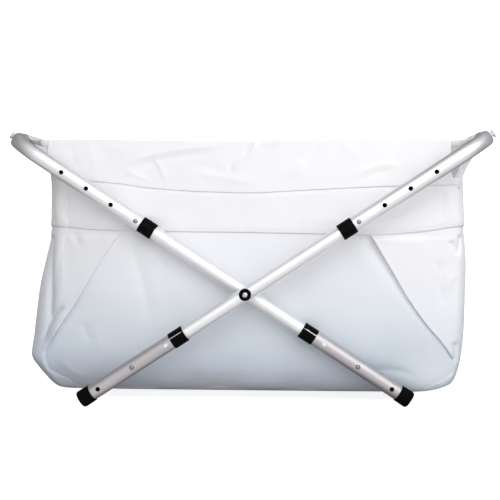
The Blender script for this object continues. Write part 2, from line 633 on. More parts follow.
for which, (half, tilt, foot_collar, cup_y, lean) in FRAMES.items():
    base = Matrix.Translation((0, 0, PIVOT_Z)) @ Matrix.Rotation(tilt, 4, "Y")
    place(u_tube(which + "_u_tube", half, base), which + "_top", "aluminium_tube", which + "_top_tube")
    for end, side in (("front", -1), ("back", 1)):
        leg = base @ Matrix.Translation((0, side * half, 0))
        if side < 0:
            leg = swap(leg)  # local +Y now points away from the bag, on both sides
        tag = which + "_%s_" + end

        tube = lathe_object(tag % "inner_leg", pipe_profile(LEG_R, LEG_BORE, -LEG_DOWN, LEG_UP), leg, ALUMINIUM_LEG)
        pin = turned([(0, -14), (3.4, -14), (3.4, 14), (0, 14)], 32, "Y")
        carve(tube, [
            drill(leg, TOP_BUTTON, face=LEG_R, flare=0.2),
            drill(leg, -FOOT_BUTTON, face=LEG_R, flare=0.2),
            (moved(pin[0], leg), pin[1]),
        ])
        mark_bore(tube, leg, [(0, k) for k in np.arange(-LEG_DOWN, LEG_UP + 1, 3)], LEG_R - 0.2)
        place(tube, which + "_legs", "aluminium_tube", tag % "middle_tube")

        low = -(foot_collar - COLLAR_L / 2) - 5
        foot = lathe_object(tag % "foot_leg", pipe_profile(TUBE_R, TUBE_BORE, -TUBE_FOOT_END, low), leg, ALUMINIUM_FOOT)
        carve(foot, [drill(leg, -(FOOT_BUTTON + k * FOOT_PITCH)) for k in (-1, 0, 1)])
        mark_bore(foot, leg, [(0, k) for k in np.arange(-TUBE_FOOT_END, low + 1, 3)], TUBE_R - 0.2)
        place(foot, which + "_foot_" + end, "aluminium_tube", tag % "foot_tube")

        place(
            lathe_object(tag % "top_guide", collar_profile(TOP_COLLAR, 1), leg, BLACK, 72),
            which + "_top", "black_plastic", tag % "top_collar",
        )
        guide = lathe_object(tag % "foot_guide", collar_profile(foot_collar, -1), leg, BLACK, 72)
        bm = bmesh.new()
        bmesh.ops.create_cube(bm, size=1.0)
        # the slot lies towards the upper edge of the tube as seen from outside
        turn = Matrix.Rotation(lean * math.radians(24.5), 4, "Z")
        slot = turn @ Matrix.Translation((0, COLLAR_R, -(foot_collar + 1.3))) @ Matrix.Diagonal((2.2, 5, 24, 1))
        cut_v = [tuple(slot @ v.co) for v in bm.verts]
        cut_f = [[v.index for v in f.verts] for f in bm.faces]
        bm.free()
        carve(guide, [(moved(cut_v, leg), cut_f)])
        place(guide, which + "_foot_" + end, "black_plastic", tag % "foot_collar")

        cap_profile = [
            (r, -z)
            for r, z in rounded(
                [
                    (COLLAR_BORE, FOOT_RIM, 0.2),
                    (FOOT_R - 0.1, FOOT_RIM, 0.6),
                    (FOOT_R, FOOT_RIM + 1.2, 0.5),
                    (FOOT_R, FOOT_RIM + 3.2, 0.15),
                    (FOOT_R - 0.35, FOOT_RIM + 3.6, 0.15),
                    (FOOT_R - 0.35, FOOT_RIM + 4.4, 0.15),
                    (FOOT_R, FOOT_RIM + 4.8, 0.15),
                    (FOOT_R, FOOT_END - 1.2, 3.4),
                    (0, FOOT_END + 0.8, 0),
                    (0, TUBE_FOOT_END + 0.3, 0),
                    (COLLAR_BORE, TUBE_FOOT_END + 0.3, 0.2),
                ],
                0.3,
                5,
            )
        ]
        cap = lathe_object(tag % "rubber_foot", cap_profile, leg, RUBBER, 72)
        bm = bmesh.new()
        bm.from_mesh(cap.data)
        cut = bmesh.ops.bisect_plane(
            bm, geom=bm.verts[:] + bm.edges[:] + bm.faces[:], plane_co=(0, 0, 0.0), plane_no=(0, 0, -1), clear_outer=True
        )
        rim_edges = [e for e in cut["geom_cut"] if isinstance(e, bmesh.types.BMEdge)]
        bmesh.ops.holes_fill(bm, edges=rim_edges, sides=0)
        bm.to_mesh(cap.data)
        bm.free()
        cap.data.polygons.foreach_set("use_smooth", [True] * len(cap.data.polygons))
        cap.data.set_sharp_from_angle(angle=math.radians(35))
        place(cap, which + "_foot_" + end, "black_rubber", tag % "foot_cap")

        dome = [
            (0, 8.7), (3.2, 8.7), (3.2, 12.0), (3.12, 12.5), (2.85, 12.95), (2.4, 13.3),
            (1.7, 13.55), (0.9, 13.67), (0, 13.7),
        ]
        for kind, z in (("top", TOP_BUTTON), ("foot", -FOOT_BUTTON)):
            b = lathe_object(tag % (kind + "_snap"), dome, leg @ Matrix.Translation((0, 0, z)), BUTTON_STEEL, 36, "Y", 50)
            place(b, "%s_%s_press_%s" % (which, kind, end), "steel", tag % (kind + "_button"))
            spring = v_spring(tag % (kind + "_v_spring"), leg, z, -1 if kind == "top" else 1)
            place(spring, which + "_legs", "steel", tag % (kind + "_button_spring"))
            # pressing the button closes the V; its far arm stays against the tube
            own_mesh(spring)

        # the clear cup stands on the crossbar
        cup = base @ Matrix.Translation((0, side * cup_y, CROSSBAR + TUBE_R + 0.3))
        profile = [
            (0, 0.0), (3.5, 0.0), (4.1, 0.15), (4.2, 0.6), (3.9, 1.4), (3.35, 2.2), (3.5, 2.9), (4.4, 4.0),
            (5.6, 5.3), (6.5, 6.3), (6.95, 6.75), (7.0, 6.95), (6.85, 7.0), (6.3, 6.75), (5.3, 5.7),
            (4.1, 4.6), (2.9, 3.7), (1.6, 3.1), (0, 2.9),
        ]
        place(lathe_object(tag % "clear_cup", profile, cup, CLEAR, 48, "Z", 60), which + "_top", "clear_vinyl", tag % "suction_cup")

for end, side in (("front", -1), ("back", 1)):
    m = Matrix.Translation((0, 0, PIVOT_Z))
    if side < 0:
        m = swap(m)
    y0 = OUTER_Y + LEG_R + 0.3
    cap = rounded([(3.35, y0, 0.1), (9.75, y0, 0.3), (9.75, y0 + 2.4, 1.3), (8.4, y0 + 3.5, 0.8), (5.2, y0 + 3.5, 0.3), (5.0, y0 + 3.2, 0.2), (3.35, y0 + 3.2, 0.1)], 0.2, 5)
    place(lathe_object("pivot_%s_cap_round" % end, cap, m, BLACK, 64, "Y"), "pivots", "black_plastic", "pivot_cap_" + end)
    y1 = y0 + 3.5
    inner_end = INNER_Y - LEG_R - 4.3
    head = [
        (0, inner_end), (2.7, inner_end), (3.0, inner_end + 0.4), (3.0, y1 - 0.25), (4.45, y1 - 0.25), (4.5, y1 + 0.1),
        (4.4, y1 + 0.7), (4.0, y1 + 1.35), (3.3, y1 + 1.95), (2.3, y1 + 2.4), (1.2, y1 + 2.63), (0, y1 + 2.7),
    ]
    bolt = lathe_object("pivot_%s_screw" % end, head, m, STEEL, 48, "Y", 40)
    crosses = []
    for turn in (20, 110):
        bm = bmesh.new()
        bmesh.ops.create_cube(bm, size=1.0)
        s = m @ Matrix.Rotation(math.radians(turn), 4, "Y") @ Matrix.Translation((0, y1 + 2.4, 0)) @ Matrix.Diagonal((4.6, 2.2, 0.9, 1))
        crosses.append(([tuple(s @ v.co) for v in bm.verts], [[v.index for v in f.verts] for f in bm.faces]))
        bm.free()
    for one in crosses:
        carve(bolt, [one], 35)
    place(bolt, "pivots", "steel", "pivot_bolt_" + end)
    ring = rounded([(3.35, INNER_Y + LEG_R + 0.3), (9, INNER_Y + LEG_R + 0.3), (9, OUTER_Y - LEG_R - 0.3), (3.35, OUTER_Y - LEG_R - 0.3)], 0.5, 4)
    place(lathe_object("pivot_%s_washer" % end, ring, m, BLACK, 56, "Y"), "pivots", "black_plastic", "pivot_spacer_" + end)
    nodes["pivot_nut_" + end].data.materials.clear()
    nodes["pivot_nut_" + end].data.materials.append(STEEL)


# ------------------------------------------------------------------ the bag: one loft, cut at X = 0
def curve_at(points, x):
    """A smooth curve through (x, value) points, without overshoot."""
    p = sorted(points)
    xs, ys = np.array([a for a, _ in p], float), np.array([b for _, b in p], float)
    h, d = np.diff(xs), np.diff(ys) / np.diff(xs)
    t = np.zeros(len(xs))
    t[0], t[-1] = d[0], d[-1]
    for i in range(1, len(xs) - 1):
        if d[i - 1] * d[i] > 0:
            w1, w2 = 2 * h[i] + h[i - 1], h[i] + 2 * h[i - 1]
            t[i] = (w1 + w2) / (w1 / d[i - 1] + w2 / d[i])
    x = np.clip(np.asarray(x, float), xs[0], xs[-1])
    i = np.clip(np.searchsorted(xs, x) - 1, 0, len(xs) - 2)
    s = (x - xs[i]) / h[i]
    return (
        ys[i] * (2 * s**3 - 3 * s**2 + 1)
        + h[i] * t[i] * (s**3 - 2 * s**2 + s)
        + ys[i + 1] * (3 * s**2 - 2 * s**3)
        + h[i] * t[i + 1] * (s**3 - s**2)
    )


# half length of the bag at each height, on the right and on the left
LENGTH = {
    1: [(16, 289), (17.2, 299), (19.5, 311), (23, 322.5), (30.4, 338), (49, 348.2), (83.5, 355.7), (149.6, 360.5), (220.9, 361.8), (291.9, 356), (345.6, 352.8), (373, 350.7)],
    -1: [(16, 306), (17, 315), (20, 323), (24.2, 329.5), (37.9, 345), (50.7, 358), (64.1, 368.6), (72.5, 370.8), (104.8, 368.3), (181.7, 359), (234.7, 348), (287.2, 336.6), (345.7, 332), (375.6, 329), (388.8, 331)],
}
CORNER = {
    1: [(16, 14), (50, 20), (110, 24), (250, 22), (345, 19), (372, 17)],
    -1: [(16, 16), (60, 34), (110, 38), (190, 36), (280, 38), (345, 32), (388, 13)],
}
# the corners turn back further than they run along the bag's length
DEEPER = {1: [(16, 1.2), (60, 1.9), (250, 1.9), (300, 1.7), (372, 1.0)], -1: [(16, 1.1), (60, 1.5), (250, 1.5), (320, 1.4), (388, 1.0)]}
WIDTH = [(16, 155), (18, 160.5), (23, 165.5), (33, 169.5), (60, 173.5), (100, 176), (180, 176.8), (430, 177)]
FREE_EDGE = {1: [(372, 331), (409, 330.5), (422, 331.5), (432, 336)], -1: [(388, 321), (400, 328), (412, 331), (432, 329)]}
NOTCH = {1: 372.0, -1: 388.0}
FALL_BACK = {1: [(16, 3), (80, 9), (200, 13), (330, 9), (372, 5), (430, 1.0)], -1: [(16, 5), (80, 18), (200, 26), (330, 21), (388, 7), (430, 1.0)]}
RIM = [(-331, 431.4), (-242, 431.4), (-159, 429.7), (-3, 428.7), (86, 430.3), (248, 430.2), (335, 430.4)]
SEAM = [(-362, 290), (-327, 288.6), (-259, 283.6), (-207, 281.3), (-118, 280.6), (5, 279.3), (129, 277.1), (202, 276.2), (281, 281.3), (351, 290.8), (362, 291.5)]
HEM = [(-335, 367), (-267, 364), (-209, 359), (-159, 352), (-77, 346.4), (5, 344.4), (86, 348.3), (224, 355), (300, 357), (335, 358)]


def along(points, x, z):
    """Distance to a line through points, the share of the way along it, and which side it is on (positive to the right of its run)."""
    best, share, side = np.full(x.shape, 1e9), np.zeros(x.shape), np.ones(x.shape)
    p = np.array(points, float)
    seg = np.linalg.norm(np.diff(p, axis=0), axis=1)
    run = 0.0
    for a, b, length in zip(p, p[1:], seg):
        d = (b - a) / length
        t = np.clip((x - a[0]) * d[0] + (z - a[1]) * d[1], 0, length)
        dx, dz = x - (a[0] + d[0] * t), z - (a[1] + d[1] * t)
        dist = np.hypot(dx, dz)
        near = dist < best
        best = np.where(near, dist, best)
        share = np.where(near, (run + t) / seg.sum(), share)
        side = np.where(near, np.sign(d[1] * dx - d[0] * dz), side)
        run += length
    return best, share, side


def bent(points, steps=8):
    """More points along a line, so that its bends are round."""
    p = np.array(points, float)
    t = np.concatenate([[0], np.cumsum(np.linalg.norm(np.diff(p, axis=0), axis=1))])
    at = np.linspace(0, t[-1], steps * (len(p) - 1) + 1)
    m = np.gradient(p, t, axis=0)
    i = np.clip(np.searchsorted(t, at) - 1, 0, len(t) - 2)
    h = (t[i + 1] - t[i])[:, None]
    u = ((at - t[i]) / h[:, 0])[:, None]
    return (
        p[i] * (2 * u**3 - 3 * u**2 + 1)
        + h * m[i] * (u**3 - 2 * u**2 + u)
        + p[i + 1] * (3 * u**2 - 2 * u**3)
        + h * m[i + 1] * (u**3 - u**2)
    )


def ridge(points, width, height, x, z, ends=0.25, lean=0.0):
    """A soft fold along a line; lean makes the flank on its right side steeper."""
    out = np.zeros(x.shape)
    lo, hi = np.min(points, axis=0) - 3.5 * width, np.max(points, axis=0) + 3.5 * width
    near = (x > lo[0]) & (x < hi[0]) & (z > lo[1]) & (z < hi[1])
    d, s, side = along(bent(points, 3), x[near], z[near])
    w = width * np.where(side > 0, 1 - lean, 1 + lean)
    out[near] = height * np.exp(-((d / w) ** 1.35)) * smooth(s / ends) * smooth((1 - s) / ends)
    return out


# the edges of the end panels, folded round onto the long faces like the ends of a parcel: half length at each height
EDGE = {
    1: [(16, 282), (26, 297.2), (37.7, 323.1), (50.9, 337.6), (67.4, 339.1), (80.4, 332.5), (100, 319.3), (126, 296.4), (171.7, 263.5), (223.9, 232.3), (276.1, 201), (296, 190), (431, 186)],
    -1: [(16, 286), (32.6, 298.3), (40.8, 318.4), (50.7, 335.2), (70.7, 340.2), (90.9, 331.7), (157.9, 287.8), (218, 250.9), (281.2, 209), (300, 198), (431, 190)],
}
FLAP = {k: [(k * float(curve_at(EDGE[k], h)), h) for h in [*range(300, 90, -6), *range(90, 20, -3)]] for k in EDGE}
# by height: how far the flap's edge stands out, how deep the face sinks beside it, and over what width
STANDS = {
    1: [(24, 0.4), (36, 1.6), (50, 2.2), (80, 2.6), (126, 3.0), (172, 3.6), (224, 5.0), (276, 6.0), (300, 6.0)],
    -1: [(28, 0.4), (40, 1.8), (60, 3.0), (90, 4.0), (120, 4.6), (158, 4.6), (218, 3.4), (276, 2.6), (300, 2.6)],
}
SINKS = {
    1: [(24, 0.2), (50, 1.6), (80, 2.2), (126, 2.4), (172, 3.2), (224, 5.0), (262, 7.0), (276, 7.0), (300, 7.0)],
    -1: [(28, 0.2), (50, 1.8), (80, 2.6), (120, 4.0), (158, 5.0), (180, 3.0), (218, 1.8), (276, 1.2), (300, 1.2)],
}
SPREADS = {
    1: [(24, 3), (80, 3.5), (126, 4.5), (172, 6), (224, 10), (262, 15), (300, 16)],
    -1: [(28, 3), (80, 4.5), (120, 6.5), (158, 8.5), (180, 6), (218, 4.5), (300, 4.5)],
}


def folds(x, z):
    """How far the long faces stand out, in millimetres, below the band."""
    out = np.zeros(x.shape)
    under_band = 1.0 - smooth((z - 267.5) / 9)
    for s, line in FLAP.items():
        d, t, side = along(line, x, z)
        signed = np.where(side > 0, d, -d) * -s
        height = curve_at(STANDS[s], z) * under_band
        out += smooth((signed + 0.7) / 1.4) * height * np.exp(-((np.clip(signed, 0, None) / 70.0) ** 2))
        out += 0.5 * np.exp(-(((signed - 3.0) / 2.6) ** 2)) * under_band * smooth((z - 30) / 30)
        sink = curve_at(SINKS[s], z) * np.exp(-((np.clip(-signed, 0, None) / curve_at(SPREADS[s], z)) ** 1.3))
        out -= np.where(signed < 0, 1.0, 1 - smooth(signed / 0.8)) * sink * under_band
    # left: the end panel falls back beside the corner, with a sharp upright crease where it leaves the rounded turn
    turn_at = np.interp(z, [40, 80, 138, 170, 204, 250, 287], [-349, -343, -330, -329, -330.5, -332.5, -333.5])
    past = turn_at - x
    upright = smooth((z - 66) / 40) * under_band
    out -= np.interp(past, [-16, -10, -4, 0, 5, 12, 30], [0, 1.0, 3.6, 7.0, 9.6, 11.6, 13.0]) * upright
    out -= 6.0 * np.exp(-((np.abs(past - 3.5) / np.where(past > 3.5, 7.0, 5.5)) ** 1.5)) * upright * smooth((z - 120) / 30)
    out += ridge([(-311, 276), (-311, 222), (-307, 170)], 8.0, 1.2, x, z, 0.3)
    out -= ridge([(-349, 92), (-335, 121), (-321, 143), (-300, 157)], 4.0, 7.0, x, z, 0.25, 0.3)
    out += ridge([(-294, 160), (-314, 130), (-335, 90)], 8.0, 2.0, x, z, 0.3)
    # left: puckers under the seam
    out += ridge([(-304, 284), (-297, 268), (-290, 258)], 6.0, 1.0, x, z, 0.3)
    out += ridge([(-279, 284), (-271, 268), (-266, 260)], 6.0, 0.9, x, z, 0.3)
    out -= ridge([(-292, 282), (-284, 264), (-276, 252)], 6.0, 1.1, x, z, 0.3)
    out -= ridge([(-250, 280), (-243, 268), (-239, 258)], 6.0, 0.7, x, z, 0.3)
    out -= ridge([(-236, 268), (-262, 246), (-290, 236)], 10.0, 1.0, x, z, 0.3)
    # left: soft creases in the middle panel
    out -= ridge([(-190, 286), (-188, 256), (-177, 210), (-164, 154), (-156, 108)], 11.0, 2.2, x, z, 0.3, 0.2)
    out += ridge([(-165, 270), (-156, 205), (-145, 140)], 16.0, 1.0, x, z, 0.35)
    out -= ridge([(-148, 276), (-142, 236), (-132, 206)], 7.0, 1.2, x, z, 0.3)
    out -= ridge([(-274, 130), (-269, 113), (-259, 94)], 6.0, 1.8, x, z, 0.3, 0.2)
    out += ridge([(-256, 126), (-246, 100), (-236, 74)], 12.0, 1.2, x, z, 0.35)
    out += ridge([(-316, 70), (-296, 50), (-262, 36)], 8.0, 1.8, x, z, 0.3)
    # right: wrinkles at the corner and a soft turn beside them
    out -= ridge([(331, 268), (338, 257), (345, 245)], 3.6, 4.5, x, z, 0.25, 0.2)
    out -= ridge([(349, 279), (347.5, 262), (345, 241)], 3.4, 8.0, x, z, 0.2, 0.3)
    out -= ridge([(298, 234), (312, 227), (316, 213), (313, 197), (318, 176), (323, 152)], 6.0, 2.8, x, z, 0.3, 0.25)
    out += ridge([(322, 226), (328, 206), (333, 180)], 9.0, 1.2, x, z, 0.35)
    out += ridge([(347, 213), (339, 207), (331, 197)], 4.0, 1.3, x, z, 0.3)
    out -= ridge([(340, 104), (343, 86), (342, 64)], 4.5, 6.5, x, z, 0.25)
    out += ridge([(236, 270), (262, 262), (296, 264)], 8.0, 0.7, x, z, 0.35)
    out -= ridge([(300, 112), (312, 92), (316, 70)], 9.0, 0.8, x, z, 0.35)
    # slack along the bottom
    out += ridge([(-240, 62), (-60, 54), (160, 58), (250, 72)], 24.0, 1.6, x, z, 0.25)
    out -= ridge([(176, 46), (226, 55), (262, 50), (282, 42)], 7.0, 2.6, x, z, 0.3)
    out -= ridge([(60, 214), (90, 150), (100, 96)], 26.0, 1.4, x, z, 0.3)
    out -= ridge([(-40, 150), (-64, 104), (-60, 66)], 18.0, 1.2, x, z, 0.3)
    return np.clip(out, -14.0, 7.0)


def band_folds(x, z):
    """The same for the band: a turned-over hem above the second line, and soft rumples in it."""
    hem = curve_at(HEM, x)
    out = 1.5 * smooth((z - hem + 0.5) / 1.0) - 0.7 * np.exp(-(((z - hem + 2.0) / 2.4) ** 2))
    upper = smooth((z - hem - 3) / 9)
    r = np.zeros(x.shape)
    r += ridge([(13, 433), (9, 414), (-10, 398), (-26, 380)], 4.0, 3.4, x, z, 0.14, 0.4)
    r -= ridge([(3, 430), (-3, 410), (-21, 394), (-36, 380)], 5.0, 2.2, x, z, 0.25)
    r += ridge([(-206, 384), (-180, 398), (-150, 407), (-74, 418), (-34, 423)], 6.0, 2.4, x, z, 0.2, 0.35)
    r -= ridge([(-196, 378), (-150, 396), (-90, 406), (-46, 411)], 6.5, 1.8, x, z, 0.25)
    r += ridge([(-153, 403), (-139, 378), (-134, 360)], 4.2, 2.0, x, z, 0.25, 0.3)
    r += ridge([(-202, 384), (-184, 373), (-158, 364)], 4.5, 1.5, x, z, 0.25)
    r += ridge([(-86, 376), (-30, 368), (12, 361)], 6.0, 1.7, x, z, 0.25)
    r -= ridge([(-112, 392), (-60, 386), (-30, 372)], 9.0, 1.5, x, z, 0.3)
    r += ridge([(24, 420), (44, 428), (62, 431)], 5.0, 1.6, x, z, 0.3)
    r += ridge([(93, 399), (80, 384), (65, 368)], 5.5, 1.6, x, z, 0.3)
    r -= ridge([(122, 422), (104, 396), (95, 370)], 8.0, 1.4, x, z, 0.3)
    r += ridge([(171, 368), (192, 381), (226, 392), (252, 388)], 5.5, 2.0, x, z, 0.25, -0.3)
    r -= ridge([(180, 362), (206, 376), (240, 381)], 5.5, 1.6, x, z, 0.3)
    r += ridge([(146, 426), (172, 410), (190, 398)], 7.0, 1.2, x, z, 0.3)
    r -= ridge([(-292, 426), (-287, 400), (-277, 378)], 8.0, 1.4, x, z, 0.3)
    r += ridge([(-262, 428), (-256, 404), (-246, 382)], 8.0, 1.4, x, z, 0.3)
    r += ridge([(-244, 424), (-212, 416), (-188, 414)], 7.0, 1.2, x, z, 0.3)
    out += 0.75 * r * upper
    # the strip below: a small upright seam at the right and a crease that runs into it
    low = 1 - upper
    out -= ridge([(304, 355), (303, 334), (302.5, 311)], 1.8, 1.6, x, z, 0.1) * low
    out -= ridge([(298, 332), (282, 320), (205, 292)], 3.2, 1.3, x, z, 0.2) * low
    out += ridge([(-317, 352), (-321, 320), (-317, 290)], 5.5, 2.0, x, z, 0.25)
    out -= ridge([(-306, 350), (-308, 318), (-300, 292)], 6.0, 1.6, x, z, 0.3)
    out += ridge([(326, 354), (330, 326), (328, 296)], 6.0, 1.6, x, z, 0.3)
    out -= ridge([(316, 350), (318, 326), (312, 300)], 6.0, 1.2, x, z, 0.3)
    out += ridge([(-210, 300), (-150, 304), (-90, 300)], 10.0, 0.9, x, z, 0.3) * low
    out += ridge([(70, 296), (120, 302), (170, 298)], 10.0, 0.9, x, z, 0.3) * low
    # the face falls back a little towards its ends
    return np.clip(out, -4.0, 5.2)


def tone(x, y, z):
    """Height in metres at which the cloth's colour is read: the end panels and their flaps are paler low down than the middle."""
    x, y, z = (np.asarray(k, float) for k in (x, y, z))
    fx = np.where(y > 0, -x, x)
    up_shift = np.zeros(x.shape)
    for s, lift in ((1, 62.0), (-1, 14.0)):
        d, t, side = along(FLAP[s], fx, z)
        signed = np.where(side > 0, d, -d) * -s
        up_shift = np.maximum(up_shift, lift * smooth((signed + 2) / 4) * smooth((t - 0.03) / 0.1))
    corner = np.exp(-(((fx - 308) / 50) ** 2) - (((z - 42) / 38) ** 2))
    return (z + up_shift + 84 * corner * (1 - up_shift / 62)) * 0.001


def rumple(x, y, z, scale, seed, stretch_by=(1, 1, 1)):
    """Soft noise at points in millimetres, from about -1 to 1."""
    a, b, c = (k / scale for k in stretch_by)
    flat = zip((x * a + seed).ravel().tolist(), (y * b - seed).ravel().tolist(), (z * c + 0.5 * seed).ravel().tolist())
    return np.array([noise.noise(p) for p in flat]).reshape(x.shape)


EDGE_AT = 0.62  # the share of a long face's front columns up to the one that follows the flap's edge


# columns round the bag: (side, part, share) from the front middle to the right, round the back and home from the left
def columns(front, corner, end, back):
    inner = np.concatenate([np.linspace(0, EDGE_AT - 0.026, int(front * 0.60)), EDGE_AT - np.array([20, 15, 11, 8, 5.8, 4.2, 3.0, 2.1, 1.4, 0.7, 0]) * 0.001])
    outer = np.concatenate([EDGE_AT + np.array([0.7, 1.4, 2.1, 3.0, 4.2, 5.8, 8, 11, 15, 20]) * 0.001, np.linspace(EDGE_AT + 0.026, 1, int(front * 0.34))])
    half = [("front", f) for f in np.concatenate([inner, outer])]
    half += [("corner", a) for a in np.linspace(0, 1, corner + 1)[1:]]
    half += [("end", g) for g in np.linspace(-1, 1, end + 1)[1:]]
    half += [("turn", a) for a in np.linspace(1, 0, corner + 1)[1:]]
    half += [("back", f) for f in np.linspace(1, 0, back + 1)[1:]]
    return [(1, p, q) for p, q in half] + [(-1, p, q) for p, q in reversed(half)][1:-1]


RING = columns(150, 20, 52, 78)
n_col = len(RING)
SIDE = np.array([k[0] for k in RING])
PART = np.array([k[1] for k in RING])
SHARE = np.array([k[2] for k in RING], float)
back_mid = next(c for c, k in enumerate(RING) if k[1] == "back" and k[2] == 0)
LONG = np.isin(PART, ("front", "back"))


def outline(z, out):
    """X and Y of the bag at heights z (one row of the array for each column of the bag), stood out by out."""
    x, y, w = np.zeros(z.shape), np.zeros(z.shape), curve_at(WIDTH, z)
    for s in (1, -1):
        length, corner, free, fall = (curve_at(t[s], z) for t in (LENGTH, CORNER, FREE_EDGE, FALL_BACK))
        lift = smooth((z - NOTCH[s]) / 10)
        for part in ("front", "corner", "end", "turn", "back"):
            t = (SIDE == s) & (PART == part)
            q, l, r, o = SHARE[t][:, None], length[t], corner[t], out[t]
            deep = r * curve_at(DEEPER[s], z[t])
            l = l + (0.14 if s > 0 else 0.17) * (deep - r)
            v = w[t] - fall[t]
            sign = -1 if part in ("front", "corner") else 1
            if LONG[t].all():
                span = (l - r) * (1 - lift[t]) + free[t] * lift[t]
                edge = curve_at(EDGE[s], z[t])
                edge = np.minimum(edge, span - 10 + 4 * (1 - np.exp(-np.clip(edge - span + 10, 0, None) / 6)))
                along_x = np.where(q <= EDGE_AT, edge * q / EDGE_AT, edge + (span - edge) * (q - EDGE_AT) / (1 - EDGE_AT))
                v = w[t] - fall[t] * np.clip((along_x / span - 0.52) / 0.48, 0, 1) ** 2
                x[t] = s * along_x
                y[t] = sign * (v + o)
            elif part == "end":
                x[t] = s * (l + o + 2.5 * (1 - q * q))
                y[t] = q * (v - deep)
            else:
                x[t] = s * (l - r + (r + o) * np.sin(q * math.pi / 2))
                y[t] = sign * (v - deep + (deep + o) * np.cos(q * math.pi / 2))
    return x, y


def share_of_face():
    """How much of a long face's relief each column takes."""
    f = np.where(LONG, 1.0, 0.0)
    f = np.where(np.isin(PART, ("corner", "turn")), (1 - SHARE) ** 1.2, f)
    return (f * np.where(np.isin(PART, ("turn", "back")), 0.85, 1.0))[:, None]


def bag_relief(z):
    """How far each point of the bag stands out from its even outline."""
    x, y = outline(z, np.zeros(z.shape))
    behind = np.isin(PART, ("turn", "back"))[:, None]
    out = folds(np.where(behind, -x, x), z) * share_of_face()
    e = y * SIDE[:, None]
    end = ridge([(-150, 255), (-64, 150), (0, 58)], 14, 2.4, e, z, 0.3) + ridge([(150, 255), (64, 150), (0, 58)], 14, 2.4, e, z, 0.3)
    end -= ridge([(-120, 335), (-92, 205), (-100, 90)], 15, 2.2, e, z, 0.3) + ridge([(118, 335), (96, 210), (104, 90)], 15, 2.0, e, z, 0.3)
    end += ridge([(-22, 355), (-8, 250), (-14, 160)], 18, 2.0, e, z, 0.3) - ridge([(34, 350), (40, 260), (30, 170)], 12, 1.6, e, z, 0.3)
    out += end * np.where(PART == "end", 1.0, 0.0)[:, None]
    low = smooth((300 - z) / 40)
    out += rumple(x, y, z, 95, 3.1) * 1.3 + rumple(x, y, z, 42, 7.7, (1, 1, 0.6)) * 0.6 * (0.4 + 0.6 * low)
    return out * smooth((z - 16) / 8) * (0.3 + 0.7 * smooth((425 - z) / 60))


def vertex_normals(verts, faces4):
    v = np.asarray(verts, float)
    f = np.asarray(faces4, int)
    n = np.cross(v[f[:, 2]] - v[f[:, 0]], v[f[:, 3]] - v[f[:, 1]])
    out = np.zeros(v.shape)
    for k in range(4):
        np.add.at(out, f[:, k], n)
    return out / np.maximum(np.linalg.norm(out, axis=1, keepdims=True), 1e-12)


def cut_in_two(name, verts, faces4, uvs, material, closing=(), toned=False):
    """Splits a mesh at X = 0 into a right and a left piece that keep the whole mesh's normals, so that no seam shows. closing holds the faces, as seen from the right piece, that close the cut on both."""
    verts, faces4 = np.asarray(verts, float), np.asarray(faces4, int)
    normals = vertex_normals(verts, faces4)
    uvs = np.asarray(uvs, float).reshape(len(faces4), 4, 2)
    middle = verts[faces4, 0].mean(1)
    made = []
    for s, tag in ((1, "right"), (-1, "left")):
        take = np.where(middle * s > 0)[0]
        f, t = faces4[take], uvs[take]
        if len(closing):
            ends = np.array(closing)[:, :: -s]
            f = np.vstack([f, ends])
            t = np.vstack([t, np.zeros((len(ends), 4, 2))])
        used, inverse = np.unique(f, return_inverse=True)
        f = inverse.reshape(f.shape)
        tones = tone(*verts[used].T) if toned else None
        made.append(new_object(name + "_" + tag, verts[used], f.tolist(), material, t.reshape(-1, 2), normals[used], tones=tones))
    return made


# ---- the bag itself: an open sheet from just inside the rim down, under and across its floor
rows_z = np.concatenate([[16.2, 16.6, 17.2, 18.0, 19.2, 20.6, 22.2], np.arange(24, 60, 2.4), np.arange(60, 300, 2.3), np.arange(300, 427, 4.0), [427.5]])
z = np.tile(rows_z, (n_col, 1))
x, y = outline(z, bag_relief(z))
points = np.stack([x, y, z], 2)


def round_length(grid):
    """Distance round each row of a ring of columns, from the front middle, in metres."""
    return np.concatenate([np.zeros((1, grid.shape[1])), np.cumsum(np.linalg.norm(np.roll(grid, -1, 0) - grid, axis=2), axis=0)]) * 0.001


around = round_length(points)
panel = LONG & np.roll(LONG, -1)
next_side = np.where(LONG & (SHARE == 0), np.roll(SIDE, -1), SIDE)

verts, faces, uvs, index = [], [], [], {}


def vertex(c, r):
    key = (c % n_col, r)
    if key not in index:
        index[key] = len(verts)
        verts.append(points[key])
    return index[key]


for c in range(n_col):
    for r in range(len(rows_z) - 1):
        if not panel[c] and rows_z[r + 1] > NOTCH[next_side[c]] - 2:
            continue
        faces.append([vertex(c, r), vertex(c + 1, r), vertex(c + 1, r + 1), vertex(c, r + 1)])
        home = around[-1] if c >= back_mid else around[0]
        uvs.append([(around[i, k] - home[k], rows_z[k] * 0.001) for i, k in ((c, r), (c + 1, r), (c + 1, r + 1), (c, r + 1))])

before = [vertex(c, 0) for c in range(n_col)]
for t in (0.02, 0.05, 0.09, 0.14, 0.2, 0.28, 0.37, 0.47, 0.58, 0.7, 0.82, 0.93):
    row = points[:, 0] * (1 - t, 1 - t, 0)
    row[:, 2] = 16.2 + 0.9 * math.sin(min(1.0, t * 5) * math.pi / 2) + 0.35 * rumple(row[:, 0], row[:, 1], row[:, 2], 60, 5.5)
    now = list(range(len(verts), len(verts) + n_col))
    verts.extend(row)
    for c in range(n_col):
        d = (c + 1) % n_col
        faces.append([now[c], now[d], before[d], before[c]])
        uvs.append([(verts[i][0] * 0.001, verts[i][1] * 0.001) for i in faces[-1]])
    before = now


